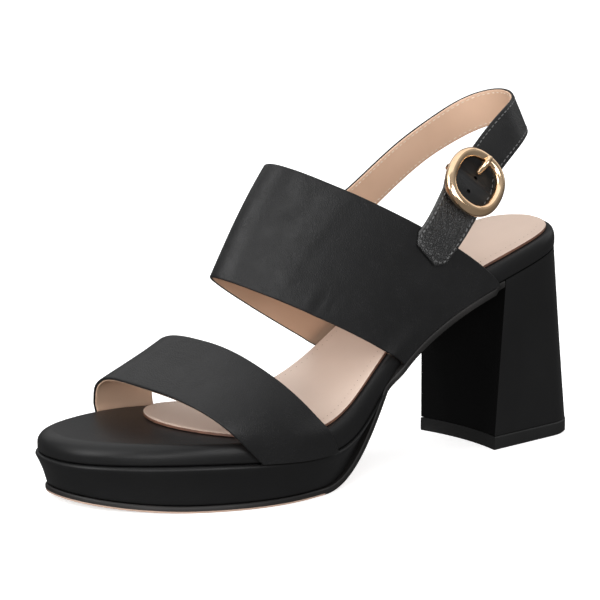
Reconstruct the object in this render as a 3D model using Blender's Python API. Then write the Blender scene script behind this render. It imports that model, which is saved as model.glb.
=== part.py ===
# A left sandal on a block heel: a covered platform and footbed, two wide straps,
# a sling strap round the heel, and a cast buckle on the outer side.
# Units are metres. X runs from the heel to the toe, Y to the outer side, Z up,
# and the floor is at Z = 0 with X = 0 at the back of the footbed.

import math
from collections import namedtuple

import bmesh
import bpy
import numpy as np
from mathutils import Matrix, Vector

# Driving sizes
shoe_length = 0.2308
ball_width = 0.0836
platform_height = 0.0253
heel_rise = 0.0666
footbed_thickness = 0.0075
outsole_thickness = 0.0026
insole_thickness = 0.0012
fit_gap = 0.0003

# Footbed edge and insole
edge_roll = 0.0026
toe_roll = 0.0062
toe_roll_start = 0.185
roll_share = 0.62
roll_turns = (0, 25, 50, 72, 90)
lower_edge_roll = 0.0009
insole_margin = 0.0010
insole_front = 0.1905
insole_round = 0.034
insole_front_fullness = 2.3

# Platform and outsole
platform_lip = 0.0008
platform_draft = 0.0032
platform_least = 0.0009
wall_start = 0.05
wall_end = 0.92
outsole_reach = 0.0008
strap_ledge = 0.0026
ledge_end = 0.0075
tread_reach = 0.010
toe_spring = 0.0030
waist_end = 0.1000
flat_start = 0.1410
waist_pull = 1.62
flat_end = 0.195

# Heel block
breast_top = 0.0392
heel_flare = 0.0138
heel_base_length = 0.0544
heel_base_width = 0.0471
heel_base_taper = 0.0065
heel_base_round = 0.0167
heel_base_fullness = 2.2
breast_hollow = 0.0029
heel_top_margin = 0.0002
top_lift_thickness = 0.0056
top_lift_edge = 0.0005

# Straps
strap_wall = 0.0018
instep_rise = 0.0458
toe_rise = 0.0330
sling_rise = 0.0473
sling_width = 0.0156
sling_wall = 0.0016
sling_tail = 0.0112
sling_tip_round = 0.0070
tab_width = 0.0172
tab_tip_round = 0.0075
tab_drop = 0.0014
seat_overlap = 0.0003
tip_fullness = 3.0
tip_bluntness = 0.04
ridge_height = 0.0010
ridge_spread = 0.0026

# Buckle
ring_half_length = 0.0108
ring_half_width = 0.0106
ring_rod_radius = 0.0020
ring_squareness = 2.35
ring_swell = 0.08
ring_lift = 0.0031
bar_radius = 0.0011
bar_drop = 0.0020
sleeve_wall = 0.0010
prong_radius = 0.0011
prong_length = 0.0032
prong_slant = math.radians(32)
prong_sides = 12

# Points along and round each shape
outline_points = 1600
heel_steps = 10
shank_steps = 7
bend_steps = 11
tread_steps = 4
toe_steps = 12
front_steps = 10
hollow_columns = 4
arch_steps = 18
strap_columns = 8
surface_columns = 40
sling_steps = 34
ridge_steps = 12
tab_steps = 10
tip_steps = 5
band_columns = 4
ring_steps = 40
ring_sides = 12
rod_sides = 16

# Plan outline of the footbed: run in shoe lengths, side in ball widths
OutlineRow = namedtuple("OutlineRow", "run side")
outline_rows = [
    OutlineRow(-0.005, 0.008),
    OutlineRow(0.028, 0.250),
    OutlineRow(0.131, 0.331),
    OutlineRow(0.263, 0.309),
    OutlineRow(0.414, 0.307),
    OutlineRow(0.560, 0.453),
    OutlineRow(0.686, 0.533),
    OutlineRow(0.816, 0.458),
    OutlineRow(0.931, 0.244),
    OutlineRow(1.000, -0.084),
    OutlineRow(0.977, -0.358),
    OutlineRow(0.877, -0.468),
    OutlineRow(0.720, -0.462),
    OutlineRow(0.564, -0.337),
    OutlineRow(0.412, -0.245),
    OutlineRow(0.260, -0.269),
    OutlineRow(0.131, -0.317),
    OutlineRow(0.029, -0.235),
]

# Side profile of the footbed: run in shoe lengths, lift in heel rises above
# the platform height, board in footbed thicknesses
ProfileRow = namedtuple("ProfileRow", "run lift board")
profile_rows = [
    ProfileRow(0.000, 1.000, 1.00),
    ProfileRow(0.087, 0.910, 1.00),
    ProfileRow(0.195, 0.784, 0.98),
    ProfileRow(0.303, 0.611, 0.90),
    ProfileRow(0.411, 0.354, 0.76),
    ProfileRow(0.520, 0.102, 1.28),
    ProfileRow(0.628, 0.000, 1.15),
    ProfileRow(0.736, 0.003, 1.03),
    ProfileRow(0.866, 0.013, 1.00),
    ProfileRow(1.000, 0.000, 1.00),
]

# The two edges of each strap, as arches over the foot: runs in shoe lengths,
# ridge side in ball widths, rise in the strap's own rise above the footbed
# between its feet. Fullness squares the arch, sweep bends it forwards.
EdgeRow = namedtuple(
    "EdgeRow",
    "lateral_run ridge_run medial_run ridge_side rise "
    "lateral_fullness medial_fullness lateral_sweep medial_sweep",
)
instep_edges = [
    EdgeRow(0.4007, 0.7060, 0.4093, -0.045, 0.669, 2.11, 2.03, 1.13, 1.00),
    EdgeRow(0.1912, 0.5977, 0.1950, 0.020, 0.994, 2.00, 2.26, 1.29, 0.83),
]
toe_edges = [
    EdgeRow(0.7559, 0.8557, 0.8258, -0.161, 0.503, 3.67, 2.89, 0.95, 0.93),
    EdgeRow(0.5940, 0.7512, 0.7149, 0.043, 0.992, 2.72, 3.11, 1.29, 1.07),
]

# Centre line of the sling strap between its seats: run in shoe lengths, side in
# ball widths, rise in sling rises above the footbed's heel, lean in degrees
RouteRow = namedtuple("RouteRow", "run side rise lean")
sling_rows = [
    RouteRow(0.3640, -0.290, 0.091, -3.0),
    RouteRow(0.1850, -0.319, 0.617, 8.0),
    RouteRow(0.1231, -0.281, 0.795, 13.0),
    RouteRow(0.0776, -0.173, 0.947, 17.0),
    RouteRow(0.0611, -0.028, 1.000, 20.0),
    RouteRow(0.0776, 0.117, 0.968, 23.0),
    RouteRow(0.1231, 0.225, 0.892, 27.0),
    RouteRow(0.1850, 0.263, 0.682, 29.0),
    RouteRow(0.2539, 0.324, 0.427, 30.5),
]
buckle_knot = len(sling_rows)

# Seats on the instep strap: climb from foot to ridge, width from front to back
medial_seat_share = (0.27, 0.84)
tab_edge_seat_share = (0.264, 1.00)
tab_tip_seat_share = (0.233, 0.80)


def smooth_curve(knots, values):
    """A natural cubic spline through the knots, as a function of arrays."""
    knots = np.asarray(knots, float)
    values = np.asarray(values, float)
    gaps = np.diff(knots)
    spare = (1,) * (values.ndim - 1)
    slopes = np.diff(values, axis=0) / np.reshape(gaps, (-1, *spare))
    count = len(knots)
    system = np.eye(count)
    target = np.zeros_like(values)
    for i in range(1, count - 1):
        system[i, i - 1] = gaps[i - 1]
        system[i, i] = 2 * (gaps[i - 1] + gaps[i])
        system[i, i + 1] = gaps[i]
        target[i] = 3 * (slopes[i] - slopes[i - 1])
    bends = np.linalg.solve(system, target)

    def curve(at):
        at = np.asarray(at, float)
        i = np.clip(np.searchsorted(knots, at) - 1, 0, count - 2)
        step = np.reshape(at - knots[i], (*np.shape(at), *spare))
        gap = np.reshape(gaps[i], (*np.shape(at), *spare))
        first = slopes[i] - gap * (2 * bends[i] + bends[i + 1]) / 3
        third = (bends[i + 1] - bends[i]) / (3 * gap)
        return values[i] + step * (first + step * (bends[i] + step * third))

    return curve


def blend(start, end, at):
    """A smooth step from 0 at start to 1 at end."""
    share = np.clip((np.asarray(at, float) - start) / (end - start), 0.0, 1.0)
    return share * share * (3 - 2 * share)


# The last: side profile and plan outline as functions of the run

profile_runs = np.array([row.run for row in profile_rows]) * shoe_length
bed_height = smooth_curve(
    profile_runs, [platform_height + row.lift * heel_rise for row in profile_rows]
)
board_depth = smooth_curve(
    profile_runs, [row.board * footbed_thickness for row in profile_rows]
)


def slope_of(height, run):
    """How much a thickness square to a slope stretches when measured upright."""
    reach = shoe_length / 1000
    rise = (height(run + reach) - height(run - reach)) / (2 * reach)
    return np.sqrt(1 + rise * rise)


def below_bed(run, depth):
    return bed_height(run) - depth * slope_of(bed_height, run)


def waist_underside(run):
    return below_bed(run, board_depth(run) + fit_gap + outsole_thickness)


def underside(run):
    """Underside of the outsole: waist, drop to the floor, flat tread, toe spring."""
    run = np.asarray(run, float)
    reach = shoe_length / 1000
    start = waist_underside(waist_end)
    slope = (waist_underside(waist_end) - waist_underside(waist_end - reach)) / reach
    span = flat_start - waist_end
    share = np.clip((run - waist_end) / span, 0.0, 1.0)
    drop = start * (2 * share**3 - 3 * share**2 + 1)
    drop = drop + waist_pull * slope * span * (share**3 - 2 * share**2 + share)
    toe = np.clip((run - flat_end) / (shoe_length - flat_end), 0.0, None)
    return np.where(run < waist_end, waist_underside(run), drop) + toe_spring * toe**2


def dense_outline():
    """The lateral and medial halves of the plan outline, heel to toe."""
    points = np.array([(row.run * shoe_length, row.side * ball_width) for row in outline_rows])
    overlap = 5
    around = np.concatenate([points[-overlap:], points, points[: overlap + 1]])
    travel = np.concatenate([[0], np.cumsum(np.linalg.norm(np.diff(around, axis=0), axis=1))])
    curve = smooth_curve(travel, around)
    line = curve(np.linspace(travel[overlap], travel[overlap + len(points)], outline_points))
    line = np.roll(line[:-1], -int(line[:-1, 0].argmin()), axis=0)
    toe = int(line[:, 0].argmax())
    return line[: toe + 1], np.concatenate([line[:1], line[toe:][::-1]])


lateral_line, medial_line = dense_outline()
heel_tip = float(lateral_line[0, 0])
toe_tip = float(lateral_line[-1, 0])


def lateral_side(run):
    return np.interp(run, lateral_line[:, 0], lateral_line[:, 1])


def medial_side(run):
    return np.interp(run, medial_line[:, 0], medial_line[:, 1])


def eased(first, last, steps):
    """Runs from first to last, close together near first, where the plan is round."""
    share = 1 - np.cos(np.linspace(0, math.pi / 2, steps + 1))
    return first + (last - first) * share


def sole_runs():
    """Runs shared by every piece of the sole, so that their faces stay parallel."""
    return np.concatenate(
        [
            eased(heel_tip, breast_top, heel_steps),
            np.linspace(breast_top, waist_end, shank_steps + 1)[1:],
            np.linspace(waist_end, flat_start, bend_steps + 1)[1:],
            np.linspace(flat_start, flat_end, tread_steps + 1)[1:],
            eased(toe_tip, flat_end, toe_steps)[::-1][1:],
        ]
    )


def runs_to_toe(start):
    """The shared runs from the toe back to a cut end."""
    runs = sole_runs()
    kept = runs[runs > start + shoe_length / 500]
    return np.concatenate([kept[::-1], [start]])


def inset_sides(runs, lateral, medial, inset, closed):
    """Both halves of a plan shape moved inwards by the inset at each run."""
    halves = []
    sides = (np.stack([runs, lateral], 1), np.stack([runs, medial], 1))
    for half, other in (sides, sides[::-1]):
        before = np.concatenate([other[1:2], half[:-1]])
        after = np.concatenate([half[1:], other[-2:-1] if closed else half[-1:]])
        along = after - before
        along /= np.linalg.norm(along, axis=1)[:, None]
        inwards = np.stack([along[:, 1], -along[:, 0]], 1)
        middle = np.stack([runs, (lateral + medial) / 2], 1)
        toward = middle - half
        toward[0] = half[1] + other[1] - 2 * half[0]
        if closed:
            toward[-1] = half[-2] + other[-2] - 2 * half[-1]
        inwards *= np.sign((inwards * toward).sum(1))[:, None]
        halves.append(half + inwards * np.asarray(inset).reshape(-1, 1))
    halves[1][0] = halves[0][0]
    if closed:
        halves[1][-1] = halves[0][-1]
    return halves


def grid_between(halves, height, hollow=0.0):
    """Rows of points across from one half to the other, at the given height."""
    lateral, medial = halves
    across = np.linspace(0, 1, hollow_columns + 1 if hollow else 2)
    rows = lateral[:, None] * (1 - across[None, :, None]) + medial[:, None] * across[None, :, None]
    if hollow:
        share = (rows[..., 0] - rows[0, 0, 0]) / (rows[-1, 0, 0] - rows[0, 0, 0])
        rows[..., 0] -= hollow * share**3 * (1 - (2 * across - 1) ** 2)
    return np.concatenate([rows, height(rows[..., 0])[..., None]], axis=2)


def rim_of(grid):
    """The points round a grid: out along one side, across the end, and back."""
    return np.concatenate([grid[:, 0], grid[-1, 1:-1], grid[::-1, -1]])


# Meshes

def clear_scene():
    for item in list(bpy.data.objects):
        bpy.data.objects.remove(item, do_unlink=True)


def new_collection(name):
    made = bpy.data.collections.new(name)
    bpy.context.scene.collection.children.link(made)
    return made


def material(name, colour, roughness, metallic=0.0):
    made = bpy.data.materials.new(name)
    made.use_nodes = True
    shader = made.node_tree.nodes["Principled BSDF"]
    shader.inputs["Base Color"].default_value = (*colour, 1.0)
    shader.inputs["Roughness"].default_value = roughness
    shader.inputs["Metallic"].default_value = metallic
    return made


def object_from(name, mesh, into, look):
    made = bpy.data.objects.new(name, mesh)
    into.objects.link(made)
    mesh.materials.append(look)
    mesh.shade_smooth()
    mesh.set_sharp_from_angle(angle=math.radians(35))
    return made


def mesh_from(name, points, faces):
    """A closed mesh with its doubled points joined and its faces outwards."""
    shape = bmesh.new()
    corners = [shape.verts.new(point) for point in points]
    for face in faces:
        kept = list(dict.fromkeys(face))
        if len(kept) > 2:
            shape.faces.new([corners[i] for i in kept])
    bmesh.ops.remove_doubles(shape, verts=shape.verts, dist=1e-6)
    bmesh.ops.dissolve_degenerate(shape, edges=shape.edges, dist=1e-6)
    bmesh.ops.recalc_face_normals(shape, faces=shape.faces)
    mesh = bpy.data.meshes.new(name)
    shape.to_mesh(mesh)
    shape.free()
    return mesh


def stack(name, levels, into, look):
    """A solid from a stack of grids: the first and last close it, rims join."""
    points = []
    faces = []
    rims = [rim_of(grid) for grid in levels]
    count = len(rims[0])
    for rim in rims:
        points.extend(rim)
    for level in range(len(rims) - 1):
        for i in range(count):
            j = (i + 1) % count
            low = level * count
            faces.append((low + i, low + j, low + count + j, low + count + i))
    for grid in (levels[0], levels[-1]):
        start = len(points)
        rows, columns = grid.shape[:2]
        points.extend(grid.reshape(-1, 3))
        for i in range(rows - 1):
            for j in range(columns - 1):
                corner = start + i * columns + j
                faces.append((corner, corner + 1, corner + columns + 1, corner + columns))
    return object_from(name, mesh_from(name, points, faces), into, look)


def sheet(name, outer, inner, into, look):
    """A wall between an outer and an inner grid of points."""
    rows, columns = outer.shape[:2]
    points = list(outer.reshape(-1, 3)) + list(inner.reshape(-1, 3))
    back = rows * columns
    faces = []
    for i in range(rows - 1):
        for j in range(columns - 1):
            corner = i * columns + j
            quad = (corner, corner + 1, corner + columns + 1, corner + columns)
            faces.append(quad)
            faces.append(tuple(back + k for k in reversed(quad)))
    edge = [(i, 0) for i in range(rows)] + [(rows - 1, j) for j in range(1, columns)]
    edge += [(i, columns - 1) for i in range(rows - 2, -1, -1)]
    edge += [(0, j) for j in range(columns - 2, 0, -1)]
    for (i, j), (k, l) in zip(edge, edge[1:] + edge[:1]):
        first = i * columns + j
        second = k * columns + l
        faces.append((first, second, back + second, back + first))
    return object_from(name, mesh_from(name, points, faces), into, look)


def normals_of(grid, outward_from):
    """Unit normals of a grid, pointing away from the given line of points."""
    along = np.gradient(grid, axis=0)
    across = np.gradient(grid, axis=1)
    normals = np.cross(along, across)
    normals /= np.linalg.norm(normals, axis=2)[..., None]
    facing = np.sign((normals * (grid - outward_from)).sum(2))
    return normals * facing[..., None]


def join(base, other, operation):
    """The base with another object added to or cut from it by a Boolean."""
    modifier = base.modifiers.new(operation.lower(), "BOOLEAN")
    modifier.operation = operation
    modifier.object = other
    modifier.use_self = True
    graph = bpy.context.evaluated_depsgraph_get()
    mesh = bpy.data.meshes.new_from_object(base.evaluated_get(graph))
    base.modifiers.clear()
    base.data = mesh
    bpy.data.objects.remove(other, do_unlink=True)
    return base


# Sole

def sole_shape(runs, closed, inset_at, height):
    """One level of a sole piece: the plan outline inset, at a height."""
    halves = inset_sides(runs, lateral_side(runs), medial_side(runs), inset_at(runs), closed)
    return grid_between(halves, height)


def roll_width(run):
    return edge_roll + (toe_roll - edge_roll) * blend(toe_roll_start, shoe_length, run)


def make_footbed(into, look):
    """The covered board: flat top, rolled upper edge, wider roll at the toe."""

    def level(inset_at, depth_at):
        return sole_shape(
            sole_runs(), True, inset_at, lambda run: below_bed(run, depth_at(run))
        )

    levels = [
        level(lambda run: 0 * run + lower_edge_roll, board_depth),
        level(lambda run: 0 * run, lambda run: board_depth(run) - lower_edge_roll),
    ]
    for turn in roll_turns:
        out = 1 - math.cos(math.radians(turn))
        up = 1 - math.sin(math.radians(turn))
        levels.append(
            level(
                lambda run, out=out: roll_width(run) * out,
                lambda run, up=up: roll_share * board_depth(run) * up,
            )
        )
    return stack("footbed", levels, into, look)


def insole_halves(inset):
    """The insole's plan: the outline, closed by a rounded front behind the toes."""
    runs = sole_runs()
    kept = runs[runs < insole_front - insole_round]
    runs = np.concatenate(
        [kept, eased(insole_front, insole_front - insole_round, front_steps)[::-1]]
    )
    share = np.clip((runs - insole_front + insole_round) / insole_round, 0.0, 1.0)
    lateral = lateral_side(runs)
    medial = medial_side(runs)
    middle = (lateral + medial) / 2
    narrow = np.sqrt(1 - share**insole_front_fullness)
    lateral = middle + (lateral - middle) * narrow
    medial = middle + (medial - middle) * narrow
    return inset_sides(runs, lateral, medial, inset + 0 * runs, True)


def make_insole(into, look):
    margin = edge_roll + insole_margin
    round_off = insole_thickness / 3

    def level(inset, lift):
        return grid_between(insole_halves(inset), lambda run: below_bed(run, -lift))

    levels = [
        level(margin, fit_gap),
        level(margin, fit_gap + insole_thickness - round_off),
        level(margin + round_off, fit_gap + insole_thickness),
    ]
    return stack("insole", levels, into, look)


def platform_top(run):
    return below_bed(run, board_depth(run) + fit_gap)


def outsole_top(run):
    """The outsole is full thickness, and thinner where it dives from the waist."""
    full = underside(run) + outsole_thickness * slope_of(underside, run)
    return np.minimum(full, platform_top(run))


def platform_bottom(run):
    return outsole_top(run) + fit_gap * slope_of(underside, run)


def platform_back():
    """The run where the platform is thick enough to begin."""
    runs = np.linspace(waist_end, flat_start, 200)
    deep = platform_top(runs) - platform_bottom(runs)
    return float(runs[int((deep > platform_least).argmax())])


def make_platform(into, look):
    runs = runs_to_toe(platform_back())
    edge = platform_lip

    def level(inset, share):
        def height(run):
            low = platform_bottom(run)
            return low + (platform_top(run) - low) * share

        return sole_shape(runs, False, lambda run: 0 * run + inset, height)

    levels = [
        level(platform_draft + edge, 0.0),
        level(platform_draft, wall_start),
        level(-platform_lip, wall_end),
        level(edge - platform_lip, 1.0),
    ]
    return stack("platform", levels, into, look)


def outsole_inset(run):
    """Inset of the outsole: under the platform's wall, and out under the strap's feet."""
    tread = platform_draft - outsole_reach
    ledge = strap_ledge * (1 - blend(waist_end - ledge_end, waist_end, run))
    return tread * blend(waist_end, flat_start + tread_reach, run) - ledge


def make_outsole(into, look):
    runs = runs_to_toe(breast_top + 2 * fit_gap)
    edge = outsole_thickness / 5

    def level(inset, share):
        def height(run):
            return underside(run) + (outsole_top(run) - underside(run)) * share

        return sole_shape(runs, False, lambda run: outsole_inset(run) + inset, height)

    levels = [level(edge, 0.0), level(0.0, 0.2), level(0.0, 0.85), level(edge, 1.0)]
    return stack("outsole", levels, into, look)


# Heel

def heel_base_halves(outset):
    """Plan of the heel's base: a flat front, tapering to a rounded back."""
    back = -heel_flare
    runs = eased(back, back + heel_base_length, heel_steps)
    share = (runs - back) / heel_base_length
    width = heel_base_width / 2 - heel_base_taper * (1 - share)
    corner = np.clip((runs - back) / heel_base_round, 0.0, 1.0)
    side = width * (1 - (1 - corner) ** heel_base_fullness) ** (1 / heel_base_fullness)
    return inset_sides(runs, side, -side, -outset + 0 * runs, False)


def heel_top_halves():
    runs = eased(heel_tip, breast_top, heel_steps)
    inset = heel_top_margin + 0 * runs
    return inset_sides(runs, lateral_side(runs), medial_side(runs), inset, False)


def make_heel(into, look):
    bottom = top_lift_thickness + fit_gap
    base = grid_between(heel_base_halves(0.0), lambda run: bottom + 0 * run, breast_hollow)
    top = grid_between(
        heel_top_halves(),
        lambda run: below_bed(run, board_depth(run) + fit_gap),
        breast_hollow,
    )
    return stack("heel", [base, base * 0.5 + top * 0.5, top], into, look)


def make_top_lift(into, look):
    outset = fit_gap

    def level(out, height):
        return grid_between(heel_base_halves(out), lambda run: height + 0 * run, breast_hollow)

    levels = [
        level(outset - top_lift_edge, 0.0),
        level(outset, top_lift_edge),
        level(outset, top_lift_thickness),
    ]
    return stack("top_lift", levels, into, look)


# Straps

def arch_over(edge, rise):
    """One line over the foot from the outer foot of a strap to the inner one."""
    clear = fit_gap + strap_wall
    turns = np.linspace(0, math.pi / 2, arch_steps + 1)
    feet = [edge.lateral_run * shoe_length, edge.medial_run * shoe_length]
    ridge_z = float(np.mean([bed_height(run) for run in feet])) + edge.rise * rise
    ridge = (edge.ridge_run * shoe_length, edge.ridge_side * ball_width, ridge_z)
    halves = []
    sides = (
        (feet[0], lateral_side, 1, edge.lateral_fullness, edge.lateral_sweep),
        (feet[1], medial_side, -1, edge.medial_fullness, edge.medial_sweep),
    )
    for foot, side_at, sign, fullness, sweep in sides:
        foot_y = side_at(foot) + sign * clear
        foot_z = float(below_bed(foot, board_depth(foot)))
        climb = np.sin(turns) ** (2 / fullness)
        spread = np.maximum(np.cos(turns), 0.0) ** (2 / fullness)
        x = foot + (ridge[0] - foot) * climb**sweep
        y = ridge[1] + (foot_y - ridge[1]) * spread
        z = foot_z + (ridge_z - foot_z) * climb
        outside = np.abs(side_at(x)) + clear
        beside = z < bed_height(x) + insole_thickness + strap_wall
        y = np.where(beside, sign * np.maximum(sign * y, outside), y)
        halves.append(np.stack([x, y, z], 1))
    return np.concatenate([halves[0], halves[1][::-1][1:]])


def between(first, last, share):
    return EdgeRow(*[a + (b - a) * share for a, b in zip(first, last)])


def strap_surface(edges, rise, columns):
    """A strap's outer surface: rows run over the foot, columns front to back."""
    shares = np.linspace(0, 1, columns + 1)
    lines = [arch_over(between(edges[0], edges[1], share), rise) for share in shares]
    return np.stack(lines, axis=1)


def under_strap(surface):
    """A line inside the arch, for telling its outer side from its inner side."""
    feet = (surface[0] + surface[-1]) / 2
    crown = surface[len(surface) // 2]
    return (feet + 0.3 * (crown - feet))[None]


def strap_wall_of(name, edges, rise, into, look):
    outer = strap_surface(edges, rise, strap_columns)
    inner = outer - strap_wall * normals_of(outer, under_strap(outer))
    for end in (0, -1):
        inner[end, :, 2] = outer[end, :, 2]
    return sheet(name, outer, inner, into, look)


def surface_point(edges, rise, side, climb_share, width_share, lift):
    """A point over or under a strap's outer surface, and the normal there."""
    line = strap_surface(edges, rise, surface_columns)
    normals = normals_of(line, under_strap(line))
    middle = len(line) // 2
    row = int(round(climb_share * middle))
    row = row if side > 0 else len(line) - 1 - row
    column = int(round(width_share * surface_columns))
    return line[row, column] + lift * normals[row, column], normals[row, column]


def lean_for(normal, along):
    """The lean at which a band going along has this outward normal."""
    upright = np.array([0, 0, 1.0]) - along * along[2]
    upright /= np.linalg.norm(upright)
    sideways = np.cross(along, upright)
    return math.degrees(math.atan2(normal @ upright, -(normal @ sideways)))


def sling_route():
    """The sling's centre line, from its inner seat round the heel to the tab's end."""
    heel_top = platform_height + heel_rise
    inside = strap_wall + sling_wall / 2 - seat_overlap
    outside = tab_drop + sling_wall / 2 - seat_overlap
    seat, seat_normal = surface_point(instep_edges, instep_rise, -1, *medial_seat_share, -inside)
    edge, edge_normal = surface_point(instep_edges, instep_rise, 1, *tab_edge_seat_share, outside)
    tip, tip_normal = surface_point(instep_edges, instep_rise, 1, *tab_tip_seat_share, outside)
    knots = [seat]
    for row in sling_rows:
        side = row.side * ball_width
        knots.append((row.run * shoe_length, side, heel_top + row.rise * sling_rise))
    knots = np.array(knots + [edge, tip])
    travel = np.concatenate([[0], np.cumsum(np.linalg.norm(np.diff(knots, axis=0), axis=1))])
    curve = smooth_curve(travel, knots)
    leans = [lean_for(seat_normal, unit(knots[1] - knots[0]))]
    leans += [row.lean for row in sling_rows]
    leans += [lean_for(edge_normal, unit(tip - edge)), lean_for(tip_normal, unit(tip - edge))]
    return curve, smooth_curve(travel, leans), travel


def unit(vector):
    return vector / np.linalg.norm(vector)


def band_frame(route, at):
    """Centre, direction, width direction and outward normal at points of a band."""
    curve, lean_at = route[:2]
    step = shoe_length / 1000
    centre = curve(at)
    along = curve(at + step) - curve(at - step)
    along /= np.linalg.norm(along, axis=1)[:, None]
    upright = np.array([0, 0, 1.0]) - along * along[:, 2:]
    upright /= np.linalg.norm(upright, axis=1)[:, None]
    sideways = np.cross(along, upright)
    lean = np.radians(lean_at(at))[:, None]
    width = upright * np.cos(lean) + sideways * np.sin(lean)
    return centre, along, width, np.cross(width, along)


def band(name, route, stops, width, lift, tip_round, into, look):
    """A flat strap along the route, with a rounded end at its last stop."""
    centre, along, across, normal = band_frame(route, stops)
    centre = centre + normal * lift(stops)[:, None]
    past = np.clip((stops - stops[-1] + tip_round) / tip_round, 0.0, 1.0)
    half = width / 2 * np.sqrt(np.maximum(1 - past**tip_fullness, tip_bluntness))
    shares = np.linspace(-1, 1, band_columns + 1)
    grid = centre[:, None] + across[:, None] * (half[:, None] * shares)[..., None]
    rise = normal[:, None] * sling_wall / 2
    return sheet(name, grid + rise, grid - rise, into, look)


def buckle_matrix(route):
    """Place of the buckle: X along the sling to the toe, Y across it, Z outwards."""
    at = route[2][buckle_knot]
    centre, along, width, normal = (value[0] for value in band_frame(route, np.array([at])))
    turned = Matrix((along, width, normal)).transposed().to_4x4()
    return Matrix.Translation(Vector(centre)) @ turned


def rod(name, radius, length, place, into, look, sides=rod_sides):
    """A cylinder along its own Z, with its middle at the given place."""
    shape = bmesh.new()
    bmesh.ops.create_cone(
        shape, cap_ends=True, segments=sides, radius1=radius, radius2=radius, depth=length
    )
    mesh = bpy.data.meshes.new(name)
    shape.to_mesh(mesh)
    shape.free()
    made = object_from(name, mesh, into, look)
    made.matrix_world = place
    return made


def tip_shares():
    """Stops across a rounded tip, as shares of its length left, close near its end."""
    return 1 - np.sin(np.linspace(0.3, math.pi / 2, tip_steps))


def sling_lift(stops, at):
    """The sling rises over the sleeve round the buckle's bar."""
    return ridge_height * np.exp(-(((stops - at) / ridge_spread) ** 2))


def make_upper(route, into, cutters, look):
    """Instep strap, sling and buckle tab, joined where they cross."""
    at = route[2][buckle_knot]
    upper = strap_wall_of("upper", instep_edges, instep_rise, into, look)
    end = at + sling_tail
    stops = np.concatenate(
        [
            np.linspace(0.0, at - 3 * ridge_spread, sling_steps),
            np.linspace(at - 2.5 * ridge_spread, end - sling_tip_round, ridge_steps),
            end - sling_tip_round * tip_shares(),
        ]
    )
    sling = band(
        "sling", route, stops, sling_width, lambda s: sling_lift(s, at), sling_tip_round, into, look
    )
    last = route[2][-1]
    stops = np.concatenate(
        [
            np.linspace(at, last - tab_tip_round, tab_steps),
            last - tab_tip_round * tip_shares(),
        ]
    )
    tab = band(
        "tab", route, stops, tab_width, lambda s: 0 * s - tab_drop, tab_tip_round, into, look
    )
    place = buckle_matrix(route)
    across = place @ Matrix.Translation((0, 0, -bar_drop)) @ Matrix.Rotation(math.pi / 2, 4, "X")
    hole = bar_radius + fit_gap
    sleeve = rod("sleeve", hole + sleeve_wall, tab_width - 4 * fit_gap, across, into, look)
    channel = rod("bar_channel", hole, 2 * tab_width, across, cutters, look)
    channel.hide_render = True
    channel.display_type = "WIRE"
    for piece in (sling, tab, sleeve):
        join(upper, piece, "UNION")
    join(upper, channel, "DIFFERENCE")
    upper.data.materials.clear()
    upper.data.materials.append(look)
    return upper


# Buckle

def ring_point(turn):
    """A point of the ring's centre line: a rounded square round the strap."""
    power = 2 / ring_squareness
    along = math.copysign(abs(math.cos(turn)) ** power, math.cos(turn)) * ring_half_length
    side = math.copysign(abs(math.sin(turn)) ** power, math.sin(turn)) * ring_half_width
    return np.array([along, side, ring_lift])


def make_buckle_frame(place, into, look):
    """The cast frame: a thick ring with its centre bar bent down under the sling."""
    turns = [2 * math.pi * i / ring_steps for i in range(ring_steps)]
    path = np.array([ring_point(turn) for turn in turns])
    ahead = np.roll(path, -1, axis=0) - np.roll(path, 1, axis=0)
    points = []
    for i, turn in enumerate(turns):
        outwards = unit(np.array([ahead[i, 1], -ahead[i, 0], 0.0]))
        radius = ring_rod_radius * (1 + ring_swell * math.cos(turn))
        for j in range(ring_sides):
            spin = 2 * math.pi * j / ring_sides
            lifted = np.array([0, 0, math.sin(spin)])
            points.append(path[i] + radius * (outwards * math.cos(spin) + lifted))
    faces = []
    for i in range(ring_steps):
        for j in range(ring_sides):
            a = i * ring_sides + j
            b = i * ring_sides + (j + 1) % ring_sides
            c = ((i + 1) % ring_steps) * ring_sides + (j + 1) % ring_sides
            d = ((i + 1) % ring_steps) * ring_sides + j
            faces.append((a, b, c, d))
    frame = object_from("buckle_frame", mesh_from("buckle_frame", points, faces), into, look)
    bar = object_from("bar", bar_mesh(), into, look)
    join(frame, bar, "UNION")
    frame.data.materials.clear()
    frame.data.materials.append(look)
    frame.matrix_world = place
    return frame


def bar_mesh():
    """The centre bar as a bent rod, whose ends rise outside the sling into the ring."""
    clear = tab_width / 2 + 2 * fit_gap + bar_radius
    half = [
        (clear - 0.9 * bar_radius, -bar_drop),
        (clear + 0.1 * bar_radius, -bar_drop + 0.4 * bar_radius),
        (clear + 0.4 * bar_radius, -bar_drop + 1.4 * bar_radius),
        (ring_half_width, ring_lift),
    ]
    line = [(-y, z) for y, z in reversed(half)] + half
    data = bpy.data.curves.new("bar", "CURVE")
    data.dimensions = "3D"
    data.bevel_depth = bar_radius
    data.bevel_resolution = 2
    data.use_fill_caps = True
    spline = data.splines.new("POLY")
    spline.points.add(len(line) - 1)
    for point, (y, z) in zip(spline.points, line):
        point.co = (0, y, z, 1)
    helper = bpy.data.objects.new("bar", data)
    bpy.context.scene.collection.objects.link(helper)
    graph = bpy.context.evaluated_depsgraph_get()
    mesh = bpy.data.meshes.new_from_object(helper.evaluated_get(graph))
    bpy.data.objects.remove(helper, do_unlink=True)
    shape = bmesh.new()
    shape.from_mesh(mesh)
    bmesh.ops.remove_doubles(shape, verts=shape.verts, dist=1e-6)
    bmesh.ops.recalc_face_normals(shape, faces=shape.faces)
    shape.to_mesh(mesh)
    shape.free()
    return mesh


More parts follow.
